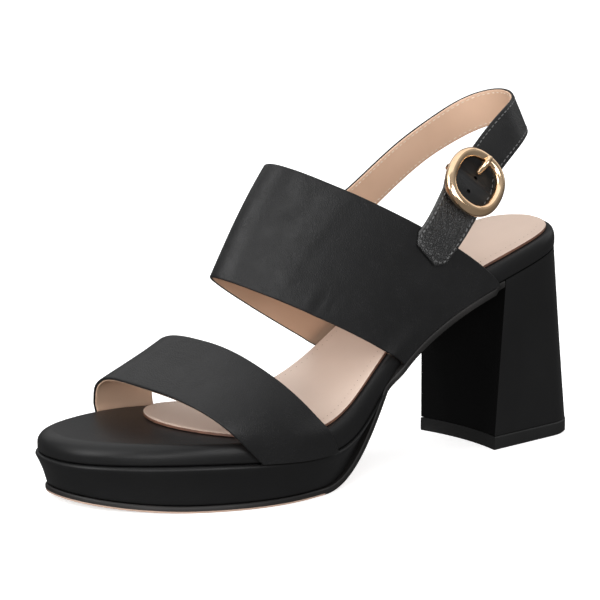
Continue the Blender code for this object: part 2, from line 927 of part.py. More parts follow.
def make_prong(place, into, look):
    """A short pin from the heel side of the ring, slanting down to the strap's hole."""
    start = Vector((-ring_half_length + ring_rod_radius + 2 * fit_gap, 0, ring_lift))
    tip = start + Vector((math.cos(prong_slant), 0, -math.sin(prong_slant))) * prong_length
    turn = (tip - start).to_track_quat("Z", "Y").to_matrix().to_4x4()
    middle = Matrix.Translation((start + tip) / 2)
    return rod("prong", prong_radius, prong_length, place @ middle @ turn, into, look, prong_sides)


def main():
    clear_scene()
    parts = new_collection("block_heel_sandal")
    cutters = new_collection("cutters")
    covered = material("footbed leather", (0.012, 0.012, 0.013), 0.5)
    wall = material("platform leather", (0.011, 0.011, 0.012), 0.5)
    sock = material("nude sock leather", (0.62, 0.45, 0.36), 0.55)
    edge = material("painted sole edge", (0.006, 0.005, 0.005), 0.6)
    smooth = material("toe strap leather", (0.013, 0.013, 0.014), 0.42)
    supple = material("instep strap leather", (0.013, 0.013, 0.014), 0.42)
    block = material("heel leather", (0.012, 0.012, 0.013), 0.48)
    rubber = material("top lift rubber", (0.008, 0.008, 0.008), 0.65)
    gold = material("gold buckle metal", (0.86, 0.64, 0.40), 0.16, 1.0)
    pin = material("gold prong metal", (0.88, 0.70, 0.46), 0.18, 1.0)
    make_outsole(parts, edge)
    make_platform(parts, wall)
    make_footbed(parts, covered)
    make_insole(parts, sock)
    make_heel(parts, block)
    make_top_lift(parts, rubber)
    strap_wall_of("toe_strap", toe_edges, toe_rise, parts, smooth)
    route = sling_route()
    make_upper(route, parts, cutters, supple)
    place = buckle_matrix(route)
    make_buckle_frame(place, parts, gold)
    make_prong(place, parts, pin)


main()
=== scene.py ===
import math

import bmesh
import bpy
import numpy as np
from mathutils import Matrix, Vector


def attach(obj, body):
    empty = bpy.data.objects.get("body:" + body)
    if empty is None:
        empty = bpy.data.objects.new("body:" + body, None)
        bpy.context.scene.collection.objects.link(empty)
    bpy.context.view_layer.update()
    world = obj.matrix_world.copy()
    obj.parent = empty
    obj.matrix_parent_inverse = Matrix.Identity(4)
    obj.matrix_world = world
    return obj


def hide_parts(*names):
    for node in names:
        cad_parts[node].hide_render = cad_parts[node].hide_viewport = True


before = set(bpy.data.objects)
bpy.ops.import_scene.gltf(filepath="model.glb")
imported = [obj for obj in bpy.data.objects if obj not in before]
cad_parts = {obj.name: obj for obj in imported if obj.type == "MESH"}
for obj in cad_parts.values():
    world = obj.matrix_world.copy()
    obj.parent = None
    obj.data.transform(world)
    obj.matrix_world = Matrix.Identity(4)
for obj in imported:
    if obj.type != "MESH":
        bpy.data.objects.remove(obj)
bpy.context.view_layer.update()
print("frame loaded:", len(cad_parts), "solids")


# Curves and small helpers

join = np.concatenate


class Sizes(dict):
    # a dictionary whose values are also read by name
    __getattr__ = dict.__getitem__


def smoothCurve(knots, values):
    # natural cubic spline through the knots
    knots = np.asarray(knots, float)
    values = np.asarray(values, float)
    gaps = np.diff(knots)
    spare = (1,) * (values.ndim - 1)
    slopes = np.diff(values, axis=0) / np.reshape(gaps, (-1, *spare))
    count = len(knots)
    system = np.eye(count)
    target = np.zeros_like(values)
    for i in range(1, count - 1):
        system[i, i - 1] = gaps[i - 1]
        system[i, i] = 2 * (gaps[i - 1] + gaps[i])
        system[i, i + 1] = gaps[i]
        target[i] = 3 * (slopes[i] - slopes[i - 1])
    bends = np.linalg.solve(system, target)

    def curve(at):
        at = np.asarray(at, float)
        i = np.clip(np.searchsorted(knots, at) - 1, 0, count - 2)
        step = np.reshape(at - knots[i], (*np.shape(at), *spare))
        gap = np.reshape(gaps[i], (*np.shape(at), *spare))
        first = slopes[i] - gap * (2 * bends[i] + bends[i + 1]) / 3
        third = (bends[i + 1] - bends[i]) / (3 * gap)
        return values[i] + step * (first + step * (bends[i] + step * third))

    return curve


def softStep(start, end, at):
    share = np.clip((np.asarray(at, float) - start) / (end - start), 0.0, 1.0)
    return share * share * (3 - 2 * share)


def unit(vector):
    return vector / np.linalg.norm(vector, axis=-1, keepdims=True)


def travelOf(points):
    steps = np.linalg.norm(np.diff(points, axis=0), axis=1)
    return join([[0], np.cumsum(steps)])


def alongLine(points, travel, at):
    return np.stack([np.interp(at, travel, points[:, k]) for k in range(points.shape[1])], 1)


# The last: plan outline and side profile

last = Sizes(
    length=0.2308, ballWidth=0.0836, platformHeight=0.0253, heelRise=0.0666,
    boardThickness=0.0075, gap=0.0003,
    outline=[  # run in lengths, side in ball widths
        (-0.005, 0.008), (0.028, 0.25), (0.131, 0.331), (0.263, 0.309), (0.414, 0.307),
        (0.56, 0.453), (0.686, 0.533), (0.816, 0.458), (0.931, 0.244), (1.000, -0.084),
        (0.977, -0.358), (0.877, -0.468), (0.72, -0.462), (0.564, -0.337), (0.412, -0.245),
        (0.26, -0.269), (0.131, -0.317), (0.029, -0.235),
    ],
    profile=[  # run in lengths, lift in heel rises, board in thicknesses
        (0.000, 1.000, 1.0), (0.087, 0.91, 1.0), (0.195, 0.784, 0.98), (0.303, 0.611, 0.9),
        (0.411, 0.354, 0.85), (0.52, 0.102, 1.33), (0.628, 0.000, 1.15), (0.736, 0.003, 1.03),
        (0.866, 0.013, 1.0), (1.000, 0.000, 1.0),
    ],
)

profileRuns = np.array([row[0] for row in last.profile]) * last.length
bedHeight = smoothCurve(
    profileRuns, [last.platformHeight + row[1] * last.heelRise for row in last.profile]
)
boardDepth = smoothCurve(profileRuns, [row[2] * last.boardThickness for row in last.profile])


def stretchOf(height, run):
    # upright measure of a thickness that lies square to a slope
    reach = last.length / 1000
    rise = (height(run + reach) - height(run - reach)) / (2 * reach)
    return np.sqrt(1 + rise * rise)


def belowBed(run, depth):
    return bedHeight(run) - depth * stretchOf(bedHeight, run)


def outlineHalves():
    points = np.array(last.outline) * [last.length, last.ballWidth]
    overlap = 5
    around = join([points[-overlap:], points, points[: overlap + 1]])
    travel = travelOf(around)
    curve = smoothCurve(travel, around)
    line = curve(np.linspace(travel[overlap], travel[overlap + len(points)], 6000))
    line = np.roll(line[:-1], -int(line[:-1, 0].argmin()), axis=0)
    toe = int(line[:, 0].argmax())
    return line[: toe + 1], join([line[:1], line[toe:][::-1]])


lateralLine, medialLine = outlineHalves()
heelTip = float(lateralLine[0, 0])
toeTip = float(lateralLine[-1, 0])


def lateralSide(run):
    return np.interp(run, lateralLine[:, 0], lateralLine[:, 1])


def medialSide(run):
    return np.interp(run, medialLine[:, 0], medialLine[:, 1])


def easedRuns(first, final, steps):
    share = 1 - np.cos(np.linspace(0, math.pi / 2, steps + 1))
    return first + (final - first) * share


def insetHalves(runs, lateral, medial, inset, closed):
    halves = []
    sides = (np.stack([runs, lateral], 1), np.stack([runs, medial], 1))
    for half, other in (sides, sides[::-1]):
        before = join([other[1:2], half[:-1]])
        after = join([half[1:], other[-2:-1] if closed else half[-1:]])
        along = unit(after - before)
        inwards = np.stack([along[:, 1], -along[:, 0]], 1)
        toward = other - half
        toward[0] = half[1] + other[1] - 2 * half[0]
        if closed:
            toward[-1] = half[-2] + other[-2] - 2 * half[-1]
        inwards *= np.sign((inwards * toward).sum(1))[:, None]
        halves.append(half + inwards * np.asarray(inset).reshape(-1, 1))
    halves[1][0] = halves[0][0]
    if closed:
        halves[1][-1] = halves[0][-1]
    return halves


def gridBetween(halves, height, columns=1, hollow=0.0):
    lateral, medial = halves
    across = np.linspace(0, 1, columns + 1)
    rows = lateral[:, None] * (1 - across[None, :, None]) + medial[:, None] * across[None, :, None]
    if hollow:
        share = (rows[..., 0] - rows[0, 0, 0]) / (rows[-1, 0, 0] - rows[0, 0, 0])
        rows[..., 0] -= hollow * share**3 * (1 - (2 * across - 1) ** 2)
    return join([rows, height(rows[..., 0])[..., None]], axis=2)


# Meshes

def addObject(name, data):
    made = bpy.data.objects.new(name, data)
    bpy.context.scene.collection.objects.link(made)
    return made


def smoothed(mesh, sharpAngle):
    mesh.shade_smooth()
    if sharpAngle:
        mesh.set_sharp_from_angle(angle=math.radians(sharpAngle))


def meshPiece(name, points, faces, coats, slots=None, sharpAngle=38):
    # coats are the names of the finishes, in the order of their slots
    shape = bmesh.new()
    corners = [shape.verts.new(point) for point in points]
    for number, face in enumerate(faces):
        kept = list(dict.fromkeys(face))
        if len(kept) > 2:
            made = shape.faces.new([corners[i] for i in kept])
            made.material_index = slots[number] if slots else 0
    weld = 2e-7
    bmesh.ops.remove_doubles(shape, verts=shape.verts, dist=weld)
    bmesh.ops.dissolve_degenerate(shape, edges=shape.edges, dist=weld)
    bmesh.ops.recalc_face_normals(shape, faces=shape.faces)
    mesh = bpy.data.meshes.new(name)
    shape.to_mesh(mesh)
    shape.free()
    for coat in coats.split():
        mesh.materials.append(finishes[coat])
    smoothed(mesh, sharpAngle)
    return addObject(name, mesh)


def settled(piece, sharpAngle=38):
    # the piece with its modifiers turned into plain mesh
    graph = bpy.context.evaluated_depsgraph_get()
    mesh = bpy.data.meshes.new_from_object(piece.evaluated_get(graph))
    piece.modifiers.clear()
    piece.data = mesh
    smoothed(mesh, sharpAngle)
    return piece


def softened(piece, width, segments=3):
    bevel = piece.modifiers.new("softEdge", "BEVEL")
    bevel.width = width
    bevel.segments = segments
    bevel.angle_limit = math.radians(35)
    return settled(piece)


def ringFaces(rows, count, closed=False):
    # the faces between neighbouring loops of points
    return [
        (i * count + j, i * count + k, m * count + k, m * count + j)
        for i, m in [(i, (i + 1) % rows) for i in range(rows if closed else rows - 1)]
        for j, k in [(j, (j + 1) % count) for j in range(count)]
    ]


def stackPiece(name, levels, coats, bands=None, caps=(0, 0)):
    # a closed form from a stack of grids; bands give each step's finish
    rims = [join([grid[:, 0], grid[-1, 1:-1], grid[::-1, -1]]) for grid in levels]
    count = len(rims[0])
    points = list(join(rims))
    faces = ringFaces(len(rims), count)
    slots = [slot for slot in bands or [0] * (len(rims) - 1) for _ in range(count)]
    for grid, slot in zip((levels[0], levels[-1]), caps):
        rows, columns = grid.shape[:2]
        corners = np.arange(rows * columns).reshape(rows, columns)[:-1, :-1] + len(points)
        points.extend(grid.reshape(-1, 3))
        for corner in corners.ravel().tolist():
            faces.append((corner, corner + 1, corner + columns + 1, corner + columns))
            slots.append(slot)
    return meshPiece(name, points, faces, coats, slots)


def wallLayer(name, band, wall, coats, rowScale=None):
    # one layer of a strap between two lifts, with rounded side edges
    surface, normals = band
    top, bottom, inset, columns, rounding = wall
    half = (top - bottom) / 2
    turns = np.linspace(math.pi / 2, -math.pi / 2, rounding + 2)[1:-1]
    loops = []
    for i in range(len(surface)):
        travel = travelOf(surface[i])
        thick = half * (1 if rowScale is None else rowScale[i])
        margin = min(inset + half, 0.42 * travel[-1])
        at = np.linspace(margin, travel[-1] - margin, columns + 1)
        up = unit(alongLine(normals[i], travel, at))
        spine = alongLine(surface[i], travel, at) + (top + bottom) / 2 * up
        loop = [spine + thick * up]
        for end, inner, way in ((-1, -2, 1), (0, 1, -1)):
            outwards = unit(spine[end] - spine[inner])
            for turn in turns:
                turned = way * math.sin(turn) * up[end] + math.cos(turn) * outwards
                loop.append((spine[end] + thick * turned)[None])
            if way > 0:
                loop.append((spine - thick * up)[::-1])
        loops.append(join(loop))
    rows = len(loops)
    count = len(loops[0])
    faces = ringFaces(rows, count)
    lower = columns + 1 + len(turns)
    for start in (0, (rows - 1) * count):
        for j in range(columns):
            first = start + lower + columns - j
            faces.append((start + j, start + j + 1, first - 1, first))
        faces.append(tuple(start + k for k in range(columns, lower + 1)))
        faces.append(tuple(start + k % count for k in range(lower + columns, count + 1)))
    return meshPiece(name, join(loops), faces, coats, sharpAngle=50)


# Materials

class Graph:
    # short names for building a node tree
    def __init__(self, tree):
        self.tree = tree

    def node(self, kind, settings=None, **inputs):
        # inputs go by name, or by place as _0, _1 and so on
        made = self.tree.nodes.new(kind)
        for key, value in (settings or {}).items():
            setattr(made, key, value)
        for key, value in inputs.items():
            self.feed(made, key.replace("_", " ").strip(), value)
        return made

    def feed(self, made, key, value):
        socket = made.inputs[int(key)] if key.isdigit() else made.inputs[key]
        if isinstance(value, bpy.types.NodeSocket):
            self.tree.links.new(value, socket)
        else:
            socket.default_value = value

    def math(self, operation, first, second=0.0, third=0.0):
        made = self.node("ShaderNodeMath", {"operation": operation}, _0=first, _1=second, _2=third)
        return made.outputs[0]

    def noise(self, place, scale, detail, roughness=0.5):
        return self.node(
            "ShaderNodeTexNoise", Vector=place, Scale=scale, Detail=detail, Roughness=roughness
        ).outputs

    def ranged(self, value, low, high, toLow, toHigh):
        made = self.node(
            "ShaderNodeMapRange", {"interpolation_type": "SMOOTHSTEP"},
            Value=value, From_Min=low, From_Max=high, To_Min=toLow, To_Max=toHigh,
        )
        return made.outputs["Result"]


def startMaterial(name, look):
    # a shader whose colour drifts slowly from place to place
    made = bpy.data.materials.new(name)
    made.use_nodes = True
    made.diffuse_color = (*look["light"], 1)
    graph = Graph(made.node_tree)
    shader = made.node_tree.nodes["Principled BSDF"]
    shader.inputs["Metallic"].default_value = look.get("metallic", 0.0)
    shader.inputs["Specular IOR Level"].default_value = look["specular"]
    place = graph.node("ShaderNodeTexCoord").outputs["Object"]
    ramp = graph.node("ShaderNodeValToRGB", Fac=graph.noise(place, look["patch"], 4.0, 0.6)["Fac"])
    for end, position, tone in zip(ramp.color_ramp.elements, (0.3, 0.72), ("dark", "light")):
        end.position = position
        end.color = (*look[tone], 1)
    graph.feed(shader, "Base Color", ramp.outputs["Color"])
    return made, graph, shader, place


def finishMaterial(graph, shader, look, height, fine, smoother, rougher):
    rough = look["roughness"]
    graph.feed(shader, "Roughness", graph.ranged(fine, 0.3, 0.7, rough - smoother, rough + rougher))
    bump = graph.node("ShaderNodeBump", Height=height, Strength=look["relief"], Distance=look["grainDepth"])
    graph.feed(shader, "Normal", bump.outputs[0])


def leather(name, look):
    # pebbled grain from cells, finer pores over it, uneven wear and fine creases
    made, graph, shader, place = startMaterial(name, look)
    pores = graph.noise(place, look["pores"], 3.0, 0.65)
    reach = (look["cell"] * 0.35,) * 3
    warped = {"operation": "MULTIPLY_ADD"}
    warp = graph.node("ShaderNodeVectorMath", warped, _0=pores["Color"], _1=reach, _2=place)
    edges = {"feature": "DISTANCE_TO_EDGE"}
    cells = graph.node("ShaderNodeTexVoronoi", edges, Vector=warp.outputs[0], Scale=1 / look["cell"])
    pebble = graph.ranged(cells.outputs["Distance"], 0.0, 0.28, 0.0, 1.0)
    wear = graph.ranged(graph.noise(place, look["patch"] * 5, 2.0)["Fac"], 0.3, 0.7, 0.45, 1.0)
    pebble = graph.math("MULTIPLY", pebble, wear)
    height = graph.math("MULTIPLY_ADD", pores["Fac"], look["poreShare"], pebble)
    stretched = graph.node("ShaderNodeMapping", Vector=place, Rotation=(0.3, 0.9, 0.4), Scale=(260, 60, 60))
    folds = graph.noise(stretched.outputs[0], 1.0, 4.0, 0.6)
    ridge = graph.math("ABSOLUTE", graph.math("SUBTRACT", folds["Fac"], 0.5))
    ridge = graph.ranged(ridge, 0.0, 0.1, -1.0, 0.0)
    height = graph.math("ADD", height, graph.math("MULTIPLY", ridge, look["crease"]))
    finishMaterial(graph, shader, look, height, pores["Fac"], 0.05, 0.06)
    return made


def plainSurface(name, look):
    # paint, rubber, thread or metal: fine roughness and a light bump
    made, graph, shader, place = startMaterial(name, look)
    fine = graph.noise(place, look["fine"], 3.0, 0.6)["Fac"]
    spread = look.get("spread", 0.05)
    finishMaterial(graph, shader, look, fine, fine, spread, spread)
    return made


leatherKeys = "dark light patch pores cell poreShare relief grainDepth roughness specular crease".split()
leatherLooks = {
    "strapLeather": (
        (0.0075, 0.0075, 0.0078), (0.0115, 0.0115, 0.012), 30,
        2600, 0.00085, 0.35, 0.8, 0.00008, 0.4, 0.27, 0.25
    ),
    "soleLeather": (
        (0.007, 0.007, 0.0072), (0.0105, 0.0105, 0.0108), 24,
        2800, 0.00065, 0.4, 0.3, 0.00004, 0.38, 0.2, 0.12
    ),
    "tabLeather": (
        (0.005, 0.005, 0.0052), (0.009, 0.009, 0.0093), 60,
        3000, 0.0008, 0.45, 1.0, 0.00015, 0.24, 0.9, 0.3
    ),
    # painted shade: a near-black, nearly matte leather that stands in for the shade on the heel breast and
    # in the sling's holes
    "breastLeather": (
        (0.0024, 0.0024, 0.0025), (0.0036, 0.0036, 0.0037), 24,
        2800, 0.00065, 0.4, 0.3, 0.00004, 0.55, 0.06, 0.12
    ),
    "liningLeather": (
        (0.59, 0.395, 0.275), (0.69, 0.48, 0.35), 18, 3000, 0.0006, 0.6, 0.25, 0.00003, 0.55, 0.35, 0.1
    ),
    "sockLeather": (
        (0.56, 0.435, 0.36), (0.63, 0.5, 0.42), 14, 2800, 0.0006, 0.6, 0.25, 0.00003, 0.46, 0.45, 0.12
    ),
}
plainKeys = "dark light patch fine relief grainDepth roughness specular metallic spread".split()
plainLooks = {
    "sockEdge": ((0.09, 0.038, 0.024), (0.2, 0.095, 0.058), 120, 2400, 0.3, 0.00003, 0.6, 0.5),
    "soleEdgePaint": ((0.0085, 0.008, 0.0078), (0.015, 0.0135, 0.013), 60, 2000, 0.4, 0.00004, 0.5, 0.35),
    "tread": ((0.46, 0.315, 0.245), (0.6, 0.43, 0.34), 50, 1500, 0.5, 0.00006, 0.7, 0.3),
    "liftRubber": ((0.0055, 0.0055, 0.0055), (0.009, 0.009, 0.0092), 60, 1800, 0.5, 0.00005, 0.55, 0.35),
    "goldMetal": ((0.72, 0.49, 0.3), (0.84, 0.62, 0.41), 90, 700, 0.1, 0.00003, 0.13, 0.5, 1.0, 0.03),
    "blackThread": ((0.07, 0.07, 0.07), (0.15, 0.15, 0.152), 900, 5000, 0.6, 0.00004, 0.38, 0.6),
    "nudeThread": ((0.66, 0.55, 0.45), (0.8, 0.7, 0.6), 900, 5000, 0.6, 0.00004, 0.55, 0.5),
    # painted shade: dark brown dots that stand in for the shade inside the insole's pinholes
    "pinholeShade": ((0.16, 0.085, 0.055), (0.24, 0.135, 0.09), 900, 4000, 0.4, 0.00003, 0.8, 0.1),
    "floor": ((0.8, 0.8, 0.8), (0.82, 0.82, 0.82), 2, 60, 0.05, 0.0002, 0.85, 0.1),
}
finishes = {name: leather(name, dict(zip(leatherKeys, row))) for name, row in leatherLooks.items()}
for name, row in plainLooks.items():
    finishes[name] = plainSurface(name, dict(zip(plainKeys, row)))
print("finishes:", len(finishes))


# Sole

sole = Sizes(
    breast=0.0392, waistEnd=0.1, flatStart=0.141, flatEnd=0.195, waistPull=1.85,
    toeSpring=0.003, outsoleThickness=0.0026, edgeRoll=0.0026, toeRoll=0.0062,
    toeRollStart=0.185, lowerRoll=0.0009, rollShare=0.62, wallDraft=0.0032, wallLip=0.0008,
    ledge=0.0026, ledgeStart=(0.0425, 0.0465), ledgeEnd=0.0075, thinnest=0.0009,
    wallSwell=0.00035,  # the cover pulls tight over the core
    treadReach=0.01, outsoleReach=0.0005,
    detail=5,  # stations, as a multiple of the solids' own
)


def waistUnderside(run):
    return belowBed(run, boardDepth(run) + last.gap + sole.outsoleThickness)


def underside(run):
    run = np.asarray(run, float)
    reach = last.length / 1000
    waistEnd = sole.waistEnd
    span = sole.flatStart - waistEnd
    start = waistUnderside(waistEnd)
    slope = (start - waistUnderside(waistEnd - reach)) / reach
    share = np.clip((run - waistEnd) / span, 0.0, 1.0)
    drop = start * (2 * share**3 - 3 * share**2 + 1)
    drop = drop + sole.waistPull * slope * span * (share**3 - 2 * share**2 + share)
    toe = np.clip((run - sole.flatEnd) / (last.length - sole.flatEnd), 0.0, None)
    return np.where(run < waistEnd, waistUnderside(run), drop) + sole.toeSpring * toe**2


def platformTop(run):
    return belowBed(run, boardDepth(run) + last.gap)


def outsoleTop(run):
    full = underside(run) + sole.outsoleThickness * stretchOf(underside, run)
    return np.minimum(full, platformTop(run))


def platformBottom(run):
    return outsoleTop(run) + last.gap * stretchOf(underside, run)


def soleRuns():
    more = sole.detail
    stations = [sole.breast, sole.waistEnd, sole.flatStart, sole.flatEnd]
    runs = [easedRuns(heelTip, sole.breast, 10 * more)]
    for start, end, steps in zip(stations, stations[1:], (7, 11, 6)):
        runs.append(np.linspace(start, end, steps * more + 1)[1:])
    return join([*runs, easedRuns(toeTip, sole.flatEnd, 12 * more)[::-1][1:]])


def runsToToe(start):
    runs = soleRuns()
    kept = runs[runs > start + last.length / 2000]
    return join([kept[::-1], [start]])


def soleHalves(runs, inset, closed):
    return insetHalves(runs, lateralSide(runs), medialSide(runs), inset, closed)


def makeFootbed():
    runs = soleRuns()
    low = sole.lowerRoll
    more = softStep(sole.toeRollStart, last.length, runs)
    roll = sole.edgeRoll + (sole.toeRoll - sole.edgeRoll) * more

    def level(inset, share, up=0.0):
        halves = soleHalves(runs, inset, True)
        return gridBetween(halves, lambda run: belowBed(run, share * boardDepth(run) - up))

    levels = []
    for turn in np.radians(np.linspace(0, 90, 5)):
        levels.append(level(low * (1 - math.sin(turn)), 1, low * (1 - math.cos(turn))))
    for turn in np.radians(np.linspace(0, 90, 14)):
        levels.append(level(roll * (1 - math.cos(turn)), sole.rollShare * (1 - math.sin(turn))))
    return stackPiece("footbedWrap", levels, "soleLeather")


def edgeLevels(runs, out, steps, low, high):
    # a level for each step in from the outline and up between two heights
    levels = []
    for inset, share in steps:
        halves = soleHalves(runs, out + inset, False)
        levels.append(gridBetween(halves, lambda run: low(run) + (high(run) - low(run)) * share))
    return levels


def makePlatform():
    back = np.linspace(sole.waistEnd, sole.flatStart, 400)
    deep = platformTop(back) - platformBottom(back)
    runs = runsToToe(float(back[int((deep > sole.thinnest).argmax())]))
    draft, lip = sole.wallDraft, sole.wallLip
    steps = [(draft + lip, 0.0), (draft + 0.3 * lip, 0.015), (draft, 0.05)]
    for share in np.linspace(0.05, 0.9, 9)[1:]:
        up = (share - 0.05) / 0.85
        steps.append((draft + (-lip - draft) * up + sole.wallSwell * math.sin(math.pi * up), share))
    steps += [(-0.96 * lip, 0.935), (-0.75 * lip, 0.965), (-0.35 * lip, 0.988), (0.4 * lip, 1.0)]
    levels = edgeLevels(runs, 0.0, steps, platformBottom, platformTop)
    return stackPiece("platformWrap", levels, "soleLeather")


def makeOutsole():
    runs = runsToToe(sole.breast + 2 * last.gap)
    tread = softStep(sole.waistEnd, sole.flatStart + sole.treadReach, runs)
    ledge = 1 - softStep(sole.waistEnd - sole.ledgeEnd, sole.waistEnd, runs)
    ledge = ledge * softStep(*sole.ledgeStart, runs)
    out = (sole.wallDraft - sole.outsoleReach) * tread - sole.ledge * ledge
    steps = [(0.0006, 0.0), (0.0002, 0.06), (0.0001, 0.25), (0.0001, 0.3), (0.0, 0.34)]
    steps += [(0.0, 0.8), (0.0001, 0.9), (0.0004, 1.0)]
    levels = edgeLevels(runs, out, steps, underside, outsoleTop)
    board = stackPiece("outsoleBoard", levels, "soleEdgePaint tread", [1, 1, 1, 0, 0, 0, 0], (1, 0))
    for face in board.data.polygons:  # behind the tread the whole edge is painted
        if face.center.x < sole.flatStart and abs(face.normal.y) > 0.35:
            face.material_index = 0
    return board


sock = Sizes(
    front=0.1918, roundness=0.034, fullness=2.3, margin=0.0036, thickness=0.0012, puff=0.00021,
    pinholeInset=0.004,
)


def insoleHalves(inset):
    front, roundness = sock.front, sock.roundness
    runs = soleRuns()
    kept = runs[runs < front - roundness]
    runs = join([kept, easedRuns(front, front - roundness, 50)[::-1]])
    share = np.clip((runs - front + roundness) / roundness, 0.0, 1.0)
    middle = (lateralSide(runs) + medialSide(runs)) / 2
    narrow = np.sqrt(1 - share ** sock.fullness)
    lateral = middle + (lateralSide(runs) - middle) * narrow
    medial = middle + (medialSide(runs) - middle) * narrow
    return insetHalves(runs, lateral, medial, inset, True)


def makeInsole():
    thick = sock.thickness
    levels = []
    for out, up in ((0.0, 0.0), (0.0, 0.55), (0.08, 0.8), (0.22, 0.94), (0.45, 1.0)):
        halves = insoleHalves(sock.margin + out * thick)
        levels.append(gridBetween(halves, lambda run: belowBed(run, -last.gap - up * thick), 20))
    across = np.linspace(-1, 1, 21)
    levels[-1][..., 2] += sock.puff * (1 - np.abs(across) ** 6)[None]
    return stackPiece("insoleSock", levels, "sockLeather sockEdge", [1, 1, 0, 0], (1, 0))


block = Sizes(
    flare=0.0138, baseLength=0.0544, baseWidth=0.0471, baseTaper=0.0065, baseRound=0.0167,
    baseFullness=2.2, hollow=0.0029, topMargin=0.0002, liftThickness=0.0056,
)


def heelBase(outset, height):
    back = -block.flare
    runs = easedRuns(back, back + block.baseLength, 56)
    share = (runs - back) / block.baseLength
    width = block.baseWidth / 2 - block.baseTaper * (1 - share)
    corner = np.clip((runs - back) / block.baseRound, 0.0, 1.0)
    power = block.baseFullness
    side = width * (1 - (1 - corner) ** power) ** (1 / power)
    halves = insetHalves(runs, side, -side, -outset, False)
    return gridBetween(halves, lambda run: height + 0 * run, 16, block.hollow)


def makeHeel():
    base = heelBase(0.0, block.liftThickness + last.gap)
    runs = easedRuns(heelTip, sole.breast, 56)
    top = gridBetween(soleHalves(runs, block.topMargin, False), platformTop, 16, block.hollow)
    levels = [base * (1 - share) + top * share for share in np.linspace(0, 1, 25)]
    wrap = softened(stackPiece("heelWrap", levels, "soleLeather breastLeather"), 0.0006)
    # the breast faces, which look towards the toe, take the second finish: painted shade, darker than the
    # heel's sides
    for face in wrap.data.polygons:
        face.material_index = int(face.normal.x > 0.75)
    return wrap


def makeTopLift():
    thick = block.liftThickness
    steps = [(-0.0002, 0.0), (0.0003, 0.0005), (0.0003, 0.45 * thick), (0.0003, thick - 0.0004)]
    levels = [heelBase(*step) for step in (*steps, (-0.0001, thick))]
    return softened(stackPiece("heelTopPiece", levels, "liftRubber"), 0.0003, 2)


footbed = makeFootbed()
platform = makePlatform()
outsole = makeOutsole()
insole = makeInsole()
heel = makeHeel()
topLift = makeTopLift()
print("sole pieces made")


# Straps

strap = Sizes(
    wall=0.0018, instepRise=0.0458, toeRise=0.033,
    lean=2.5,  # how fast a strap may turn in above the insole
    bend=0.0005,  # and how sharply it starts to
    rowsPerHalf=80,
    # lateral run, ridge run, medial run, ridge side, rise, fullness and sweep of each half
    instep=[
        (0.4007, 0.706, 0.4093, -0.045, 0.669, 2.11, 2.03, 1.13, 1.0),
        (0.1912, 0.5977, 0.195, 0.02, 0.994, 2.0, 2.26, 1.29, 0.83),
    ],
    toe=[
        (0.7559, 0.8557, 0.8258, -0.161, 0.503, 3.67, 2.89, 0.95, 0.93),
        (0.594, 0.7512, 0.7149, 0.043, 0.992, 2.72, 3.11, 1.29, 1.07),
    ],
    # soft folds: half, climb, width, reach along the strap, reach across it, depth
    instepFolds=[
        (1, 0.8, 0.5, 0.035, 0.8, -0.0003), (1, 0.9, 0.5, 0.03, 0.8, 0.00018),
        (1, 0.7, 0.45, 0.03, 0.7, 0.00018), (1, 0.52, 0.07, 0.02, 0.1, -0.00028),
        (1, 0.57, 0.1, 0.016, 0.1, 0.00016), (1, 0.47, 0.1, 0.018, 0.09, -0.0002),
        (1, 0.3, 0.72, 0.06, 0.2, -0.00022), (-1, 0.6, 0.4, 0.05, 0.6, -0.00025),
    ],
    toeFolds=[
        (1, 0.62, 0.5, 0.08, 0.8, -0.0002), (1, 0.25, 0.6, 0.06, 0.5, 0.00015),
        (-1, 0.55, 0.5, 0.07, 0.7, -0.0002),
    ],
)


def archHalf(edge, rise, sign, turns):
    # one half of an arch over the foot, from its foot to the ridge
    lateral, ridge, medial, side, height, fullOut, fullIn, sweepOut, sweepIn = edge
    feet = np.array([lateral, medial]) * last.length
    ridgeX, ridgeY = ridge * last.length, side * last.ballWidth
    ridgeZ = bedHeight(feet).mean() + height * rise
    outer = (feet[0], lateralSide, fullOut, sweepOut)
    foot, sideAt, fullness, sweep = outer if sign > 0 else (feet[1], medialSide, fullIn, sweepIn)
    clear = last.gap + strap.wall
    footY = sideAt(foot) + sign * clear
    footZ = belowBed(foot, boardDepth(foot))
    climb = np.sin(turns) ** (2 / fullness)
    spread = np.maximum(np.cos(turns), 0.0) ** (2 / fullness)
    x = foot + (ridgeX - foot) * climb**sweep
    y = ridgeY + (footY - ridgeY) * spread
    z = footZ + (ridgeZ - footZ) * climb
    over = z - bedHeight(x) - sock.thickness - strap.wall
    outside = np.abs(sideAt(x)) + clear - strap.lean * np.maximum(over, 0.0)
    gap = sign * y - outside
    y = sign * (outside + 0.5 * (gap + np.sqrt(gap * gap + strap.bend ** 2)))
    return np.stack([x, y, z], 1)


def archBetween(edges, share):
    return tuple(a + (b - a) * share for a, b in zip(*edges))


def strapPoint(sign, turn, width):
    # a point of the instep strap's outer surface and its outward normal
    nudge = 0.01
    turns = np.array([turn - nudge, turn, turn + nudge]) * math.pi / 2

    def arch(share, turns):
        return archHalf(archBetween(strap.instep, share), strap.instepRise, sign, turns)

    here = arch(width, turns)
    across = arch(width + nudge, turns[1:2])[0] - arch(width - nudge, turns[1:2])[0]
    normal = unit(np.cross(here[2] - here[0], across))
    inside = np.array([here[1][0], 0.0, here[1][2] - 0.02])
    return here[1], normal * np.sign(normal @ (here[1] - inside))


